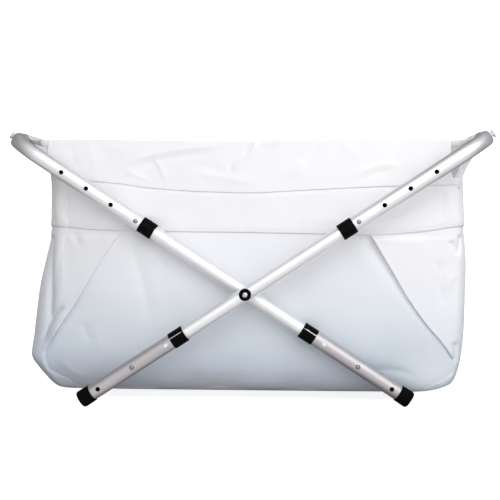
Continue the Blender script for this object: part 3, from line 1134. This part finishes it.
def close_middle(cols):
    """Quads over what is left of the floor on one side: the ring is walked from both ends at once."""
    a, b = 0, len(cols) - 1
    while b - a >= 3:
        faces.append([before[cols[a]], before[cols[b]], before[cols[b - 1]], before[cols[a + 1]]])
        uvs.append([(verts[i][0] * 0.001, verts[i][1] * 0.001) for i in faces[-1]])
        a, b = a + 1, b - 1


close_middle(list(range(back_mid + 1)))
close_middle([0] + list(range(n_col - 1, back_mid - 1, -1)))
bag_right, bag_left = cut_in_two("bag_cloth", verts, faces, uvs, BAG, toned=True)


# ---- thin pieces with two faces and a turned edge
def thin_solid(name, outer, inner, cell, wrap, uv, material, split_at=()):
    """outer and inner are grids (columns, rows, 3) of the two faces of a cloth; cell(c, r) says which cells exist. Their free edges are joined. split_at names the columns at X = 0 of a cloth that is cut there."""
    n_c, n_r = outer.shape[:2]
    v, f, t, closing, idx = [], [], [], [], {}

    def at(layer, c, r):
        c = c % n_c if wrap else c
        key = (layer, c, r)
        if key not in idx:
            idx[key] = len(v)
            v.append((outer if layer == 0 else inner)[c, r])
        return idx[key]

    last = n_c if wrap else n_c - 1
    exists = {(c, r) for c in range(last) for r in range(n_r - 1) if cell(c, r)}
    for c, r in sorted(exists):
        q = [(c, r), (c + 1, r), (c + 1, r + 1), (c, r + 1)]
        f.append([at(0, *k) for k in q])
        t.append([uv(*k) for k in q])
        f.append([at(1, *k) for k in reversed(q)])
        t.append([uv(*k) for k in reversed(q)])
        for (dc, dr), (a, b) in (((0, -1), (q[0], q[1])), ((1, 0), (q[1], q[2])), ((0, 1), (q[2], q[3])), ((-1, 0), (q[3], q[0]))):
            nc = (c + dc) % last if wrap else c + dc
            if (nc, r + dr) in exists:
                if dc > 0 and nc in split_at:
                    closing.append([at(0, *b), at(0, *a), at(1, *a), at(1, *b)])
                continue
            f.append([at(0, *b), at(0, *a), at(1, *a), at(1, *b)])
            t.append([uv(*b), uv(*a), uv(*a), uv(*b)])
    if split_at:
        return cut_in_two(name, v, f, t, material, closing)
    normals = vertex_normals(v, f)
    return new_object(name, np.array(v), f, material, np.array(t).reshape(-1, 2), normals)


# ---- the band round the rim
below = np.concatenate([np.linspace(0, 0.95, 26), 1 - np.array([2.4, 1.6, 1.0, 0.5, 0]) * 0.01])
above = np.concatenate([np.array([0.5, 1.0, 1.6, 2.4, 3.4]) * 0.01, np.linspace(0.05, 1, 34)])
behind = np.isin(PART, ("turn", "back"))
px = outline(np.full((n_col, 1), 286.0), np.zeros((n_col, 1)))[0][:, 0]
px = np.where(behind, -px, px)
px = np.where(PART == "end", SIDE * 361, px)
low, top = curve_at(SEAM, px)[:, None], curve_at(RIM, px)[:, None]
fold_line = curve_at(HEM, px)[:, None]
z = np.concatenate([low + (fold_line - low) * below[None, :], fold_line + (top - fold_line) * above[None, :]], 1)
x, y = outline(z, np.zeros(z.shape))
face = share_of_face()
relief = band_folds(np.where(behind[:, None], -x, x), z) * face + (1 - face) * 0.9
relief += (rumple(x, y, z, 60, 11.3, (1, 1, 0.8)) * 0.8 + rumple(x, y, z, 26, 2.9) * 0.35) * smooth((z - low) / 12)
under = bag_relief(z)
outer = np.stack([*outline(z, np.maximum(under, 0.6 * under) + 1.5 + np.maximum(relief, -0.9)), z], 2)
inner = np.stack([*outline(z, under - 1.1), z], 2)
band_v = (z - low) * 0.001
band_around = round_length(outer)
outer[:, -1, 2] -= 0.5  # the rim is turned over softly
inner[:, -1, 2] -= 0.5


def band_cell(c, r):
    return panel[c] or outer[c, r + 1, 2] <= NOTCH[next_side[c]]


band_right, band_left = thin_solid(
    "band_cloth", outer, inner, band_cell, True, lambda c, r: (band_around[c, r], band_v[c % n_col, r]), BAND, (0, back_mid)
)

# ---- the sleeves: each end flap leans out, wraps the crossbar and comes back
def path_points(way, step):
    """Even steps along a smooth line through points."""
    p = np.array(way, float)
    t = np.concatenate([[0], np.cumsum(np.linalg.norm(np.diff(p, axis=0), axis=1))])
    n = max(2, int(t[-1] / step))
    at = np.linspace(0, t[-1], n + 1)
    return np.stack([curve_at(list(zip(t, p[:, k])), at) if np.all(np.diff(t) > 0) else np.interp(at, t, p[:, k]) for k in range(p.shape[1])], 1)


def strip(name, way, thickness, y0, y1, s, material, wave=0.0, seed=0.0, y_steps=60):
    """A cloth strip that follows a path in X and Z (given for the right-hand side) across the bag from y0 to y1."""
    p = way
    d = np.gradient(p, axis=0)
    d /= np.linalg.norm(d, axis=1, keepdims=True)
    n = np.stack([d[:, 1], -d[:, 0]], 1)
    ys = np.linspace(y0, y1, y_steps + 1)
    run = np.concatenate([[0], np.cumsum(np.linalg.norm(np.diff(p, axis=0), axis=1))])
    o_grid = np.zeros((len(ys), len(p), 3))
    i_grid = np.zeros((len(ys), len(p), 3))
    ends = smooth(run / 6) * smooth((run[-1] - run) / 6)
    for c, y in enumerate(ys):
        w = wave * ends * (
            0.6 * np.array([noise.noise(Vector((y / 34 + seed, r / 26, seed))) for r in run])
            + 0.4 * np.array([noise.noise(Vector((y / 13 - seed, r / 19, 2 * seed))) for r in run])
        )
        for grid, off in ((o_grid, thickness / 2), (i_grid, -thickness / 2)):
            q = p + n * (off + w[:, None])
            belly = 2.5 * (1 - (y / 177) ** 2) * smooth((398 - q[:, 1]) / 22)
            grid[c] = np.stack([s * (q[:, 0] + belly), np.full(len(p), y), q[:, 1]], 1)
    if s > 0:
        o_grid, i_grid = i_grid, o_grid
    return thin_solid(
        name, o_grid, i_grid, lambda c, r: True, False,
        lambda c, r: (ys[min(c, len(ys) - 1)] * 0.001, run[r] * 0.001), material,
    )


def on_bar(angle, r):
    a = math.radians(angle)
    return (BAR_X + r * math.cos(a), BAR_Z + r * math.sin(a))


SLEEVES = {
    1: {
        "reach": 150.0,
        "out": [(352.4, 349), (351.9, 362), (351.8, 373), (355.4, 384), (362.2, 394), (369.2, 403), (375.2, 411.5), on_bar(-108, 13.95)],
        "in": [on_bar(150, 13.95), (365.5, 427), (358.0, 408), (353.0, 392), (350.2, 379), (349.6, 366)],
    },
    -1: {
        "reach": 128.0,
        "out": [(331.4, 352), (330.4, 368), (333.6, 381), (343.6, 392), (353.4, 401.5), (364.2, 410), (373.6, 416), on_bar(-104, 13.95)],
        "in": [on_bar(150, 13.95), (362, 426), (349, 409), (338, 396), (331.5, 386), (327.8, 372)],
    },
}
for s, tag in ((1, "right"), (-1, "left")):
    spec = SLEEVES[s]
    reach = spec["reach"]
    loop = np.array([on_bar(a, 13.95) for a in np.linspace(-114, 158, 52)])
    loop_piece = strip("sleeve_loop_" + tag, loop, 0.9, -reach, reach, s, SLEEVE, 0.25, 1.3 + s)
    flap_out = strip("sleeve_outer_" + tag, path_points(spec["out"], 3.0), 0.9, -reach, reach, s, SLEEVE, 1.8, 4.2 + s)
    flap_in = strip("sleeve_inner_" + tag, path_points(spec["in"], 3.0), 0.9, -reach, reach, s, SLEEVE, 1.2, 8.1 + s)
    # the narrow hem that runs from the top corner of each long face out to the sleeve
    hems = []
    for end, y_sign in (("front", -1), ("back", 1)):
        x0 = 332.0 if s > 0 else 328.0
        way = [(x0, 178.4, 425.2), (x0 + 9, 176.5, 425.6), (x0 + 20, (178 + reach) / 2 + 4, 427.5), (366, reach + 5, 432.5), (371.0, reach - 3, 437.0)]
        p = path_points(way, 3.0)
        d = np.gradient(p, axis=0)
        d /= np.linalg.norm(d, axis=1, keepdims=True)
        side_way = np.cross(d, np.array([0, 0, 1.0]))
        side_way /= np.linalg.norm(side_way, axis=1, keepdims=True)
        up_way = np.cross(side_way, d)
        n_ring = 16
        v, f, t = [], [], []
        for k in range(len(p)):
            twist = 0.9 * k / (len(p) - 1)
            a_way = side_way[k] * math.cos(twist) + up_way[k] * math.sin(twist)
            b_way = -side_way[k] * math.sin(twist) + up_way[k] * math.cos(twist)
            for i in range(n_ring):
                a = 2 * math.pi * i / n_ring
                q = p[k] + a_way * (1.3 * math.cos(a)) + b_way * (5.2 * math.sin(a) + 0.5 * math.sin(k * 0.9))
                v.append((s * q[0], y_sign * q[1], q[2]))
        for k in range(len(p) - 1):
            for i in range(n_ring):
                j = (i + 1) % n_ring
                f.append([k * n_ring + i, (k + 1) * n_ring + i, (k + 1) * n_ring + j, k * n_ring + j])
                t.append([(i * 0.0008, k * 0.003), (i * 0.0008, k * 0.003 + 0.003), (i * 0.0008 + 0.0008, k * 0.003 + 0.003), (i * 0.0008 + 0.0008, k * 0.003)])
        hem = new_object("corner_hem_%s_%s" % (end, tag), v, f, SLEEVE, np.array(t).reshape(-1, 2))
        outward(hem)
        hems.append(hem)
    for end, y_sign in (("front", -1), ("back", 1)):
        if s < 0:
            break
        way = path_points([(341.0, 167.5, 353), (343.2, 167.0, 366), (348.8, 163.5, 379), (355.6, 158.5, 391.5), (362.0, 154.5, 401), (368.6, 151.8, 408.5), (374.0, 150.8, 414.5)], 2.6)
        width = np.interp(np.linspace(0, 1, len(way)), [0, 0.3, 0.75, 1], [11.0, 12.0, 9.8, 8.0])
        run = np.concatenate([[0], np.cumsum(np.linalg.norm(np.diff(way, axis=0), axis=1))])
        d = np.gradient(way, axis=0)
        d /= np.linalg.norm(d, axis=1, keepdims=True)
        a_way = np.cross(np.array([0, 1.0, 0]), d)
        a_way /= np.linalg.norm(a_way, axis=1, keepdims=True)
        faces_of = []
        for off in (0.45, -0.45):
            g = np.zeros((9, len(way), 3))
            for c, u in enumerate(np.linspace(-0.5, 0.5, 9)):
                q = way + a_way * (u * width)[:, None]
                q[:, 1] += off + 1.3 * (0.25 - u * u) * 4 + 0.5 * np.sin(run * 0.33 + 4 * u)
                g[c] = q * (s, y_sign, 1)
            faces_of.append(g)
        if y_sign < 0:
            faces_of.reverse()
        strap = thin_solid(
            "corner_strap_%s_%s" % (end, tag), faces_of[0], faces_of[1], lambda c, r: True, False,
            lambda c, r: (c * 0.0013, run[r] * 0.001), SLEEVE,
        )
        outward(strap)
        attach(strap, "tub_" + tag)
        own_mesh(strap)
    bag, band = (bag_right, band_right) if s > 0 else (bag_left, band_left)
    body = "tub_" + tag
    for o, slot, replaced in (
        (bag, "bag_vinyl", ["tub_bag_" + tag]),
        (band, "white_fabric", ["rim_band_front_" + tag, "rim_band_back_" + tag]),
        (loop_piece, "white_fabric", ["crossbar_sleeve_" + tag]),
        (flap_out, "white_fabric", []),
        (flap_in, "white_fabric", []),
        (hems[0], "white_fabric", []),
        (hems[1], "white_fabric", []),
    ):
        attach(o, body)
        if replaced:
            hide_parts(*replaced)
        if o is not loop_piece:
            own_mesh(o)

# ------------------------------------------------------------------ stage and light
stage_material = Nodes("studio_paper")
stage_material.set(Roughness=0.9, Specular_IOR_Level=0.1, Emission_Strength=0.8)
paper = stage_material.noise(stage_material.coords("Object"), 5.0, 3.0)
stage_material.link(stage_material.ramp(paper, [(0.0, (0.91, 0.91, 0.915)), (1.0, (0.94, 0.94, 0.945))]), "Base Color")
stage_material.link(stage_material.ramp(paper, [(0.0, (0.97, 0.97, 0.98)), (1.0, (1.0, 1.0, 1.0))]), "Emission Color")
sweep = [(-9000, -0.1), (2400, -0.1)]
sweep += [(2400 + 1800 * math.sin(a), 1800 - 1800 * math.cos(a) - 0.1) for a in np.linspace(0, math.pi / 2, 25)[1:]]
sweep += [(4200, 9000)]
v, f = [], []
for k, (y, z) in enumerate(sweep):
    v += [(-9000, y, z), (9000, y, z)]
    if k:
        f.append([2 * k - 2, 2 * k - 1, 2 * k + 1, 2 * k])
stage = new_object("studio_sweep", v, f, stage_material.material)
stage.visible_diffuse = stage.visible_glossy = False  # the bath is lit by the soft lights, not by the paper

# a dim card on the floor in front, which only the tubes reflect
card_material = Nodes("bounce_card")
card_material.set(Roughness=1.0, Specular_IOR_Level=0.0, Base_Color=(0.0, 0.0, 0.0, 1), Emission_Strength=0.8)
card_material.link(
    card_material.ramp(card_material.noise(card_material.coords("Object"), 3.0), [(0.0, (0.95, 0.94, 0.95)), (1.0, (1.0, 0.99, 1.0))]),
    "Emission Color",
)
card = new_object("bounce_card", [(-1300, -1700, 2), (1300, -1700, 2), (1300, -240, 2), (-1300, -240, 2)], [[0, 1, 2, 3]], card_material.material)
card.visible_camera = card.visible_diffuse = card.visible_shadow = card.visible_transmission = False

world = bpy.data.worlds.new("studio")
scene.world = world
world.use_nodes = True
wt = world.node_tree
background = wt.nodes["Background"]
where = wt.nodes.new("ShaderNodeTexCoord")
dot = wt.nodes.new("ShaderNodeVectorMath")
dot.operation = "DOT_PRODUCT"
dot.inputs[1].default_value = Vector((0.22, -0.90, 0.36)).normalized()
spread = wt.nodes.new("ShaderNodeMapRange")
spread.inputs["From Min"].default_value = -1.0
glow = wt.nodes.new("ShaderNodeValToRGB")
WORLD = [(0.0, 0.14), (0.40, 0.17), (0.55, 0.26), (0.70, 0.50), (0.85, 0.78), (1.0, 0.84)]
while len(glow.color_ramp.elements) < len(WORLD):
    glow.color_ramp.elements.new(0.5)
for e, (at, level) in zip(glow.color_ramp.elements, WORLD):
    e.position, e.color = at, (level * 0.985, level * 0.99, level, 1)
wt.links.new(where.outputs["Generated"], dot.inputs[0])
wt.links.new(dot.outputs["Value"], spread.inputs["Value"])
wt.links.new(spread.outputs["Result"], glow.inputs["Fac"])
wt.links.new(glow.outputs["Color"], background.inputs["Color"])
background.inputs["Strength"].default_value = 1.0


def area_light(name, at, towards, size, watts, colour=(1, 1, 1)):
    data = bpy.data.lights.new(name, "AREA")
    data.shape = "RECTANGLE"
    data.size, data.size_y = size
    data.energy = watts
    data.color = colour
    o = bpy.data.objects.new(name, data)
    scene.collection.objects.link(o)
    o.location = at
    o.rotation_euler = (Vector(towards) - Vector(at)).to_track_quat("-Z", "Y").to_euler()
    return o


# the back and the ends have soft lights of their own, which the tubes don't reflect
for x in (-1.9, 1.9):
    fill = area_light("fill_%s" % ("left" if x < 0 else "right"), (x, 1.75, 0.95), (0.0, 0.1, 0.24), (1.6, 1.2), 26.0)
    fill.visible_glossy = fill.visible_camera = fill.visible_transmission = False
area_light("key_near", (0.45, -1.25, 0.95), (0.04, -0.15, 0.30), (2.0, 1.0), 11.0)

scene.view_settings.view_transform = "Standard"
scene.view_settings.look = "None"
scene.view_settings.exposure = 0.0
scene.view_settings.gamma = 1.0
